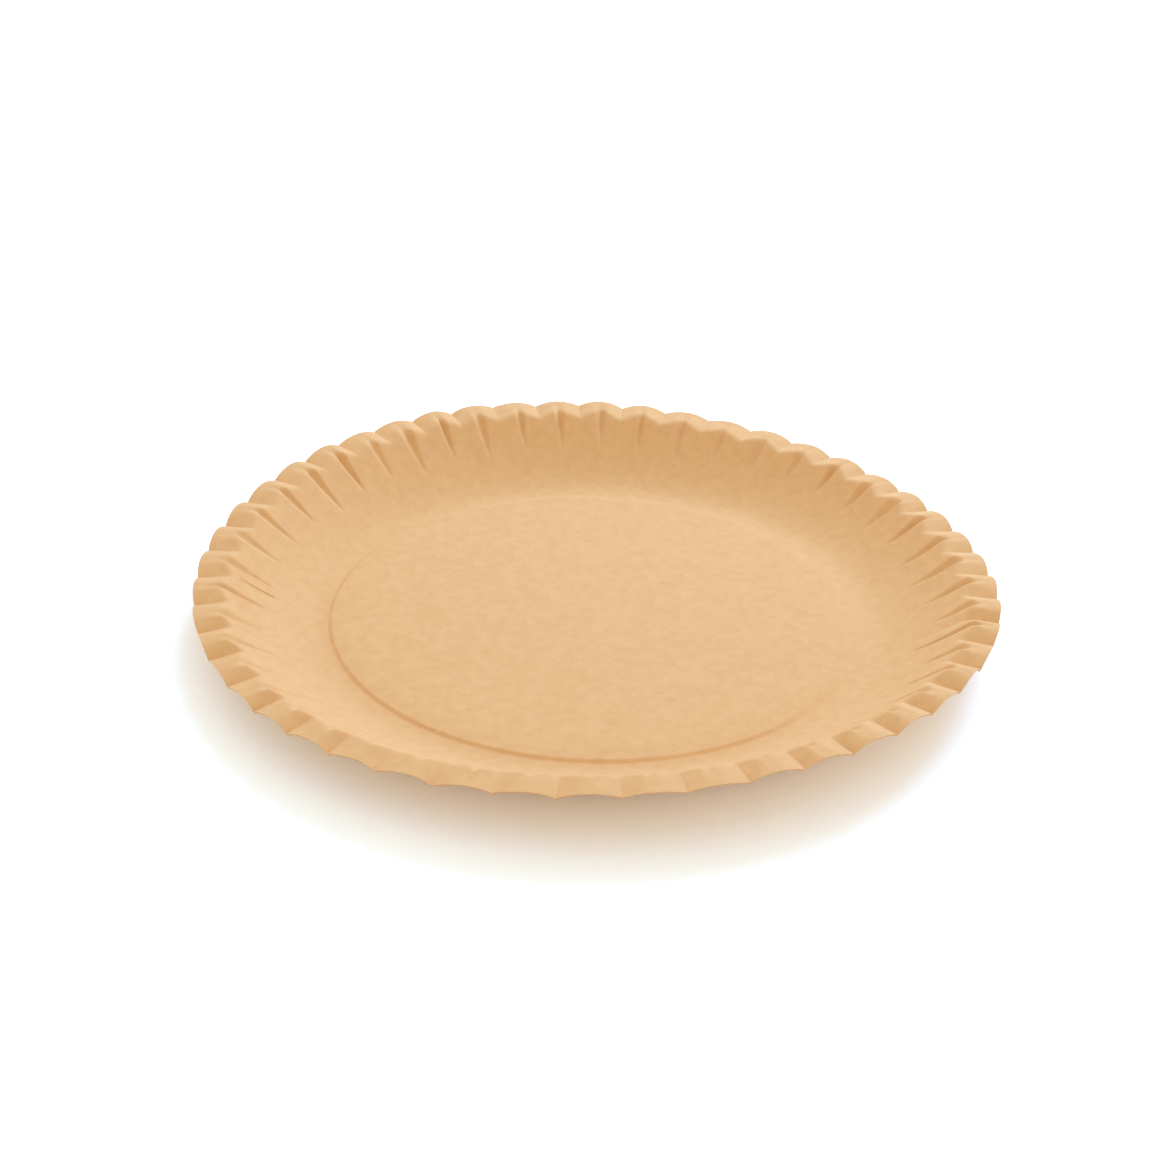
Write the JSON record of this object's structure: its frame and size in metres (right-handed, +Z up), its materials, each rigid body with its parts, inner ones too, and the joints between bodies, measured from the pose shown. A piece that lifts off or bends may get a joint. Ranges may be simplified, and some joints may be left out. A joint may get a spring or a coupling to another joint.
{
  "type": "paper plate",
  "caption": "Round disposable plate pressed from one sheet of brown kraft board, with a raised centre panel, a curved wall and a fluted, scalloped rim.",
  "frame": {"origin": "middle of the plate, on the surface that its base ring rests on", "axes": "+Z up through the middle of the plate, out of the side that holds food; +X and +Y across the plate, with a crimp of the rim on +X"},
  "size_m": [0.18, 0.18, 0.0148],
  "materials": {
    "board": "matte, uncoated, fine fibre grain"
  },
  "bodies": {
    "root": {"plate": "board"}
  },
  "joints": []
}
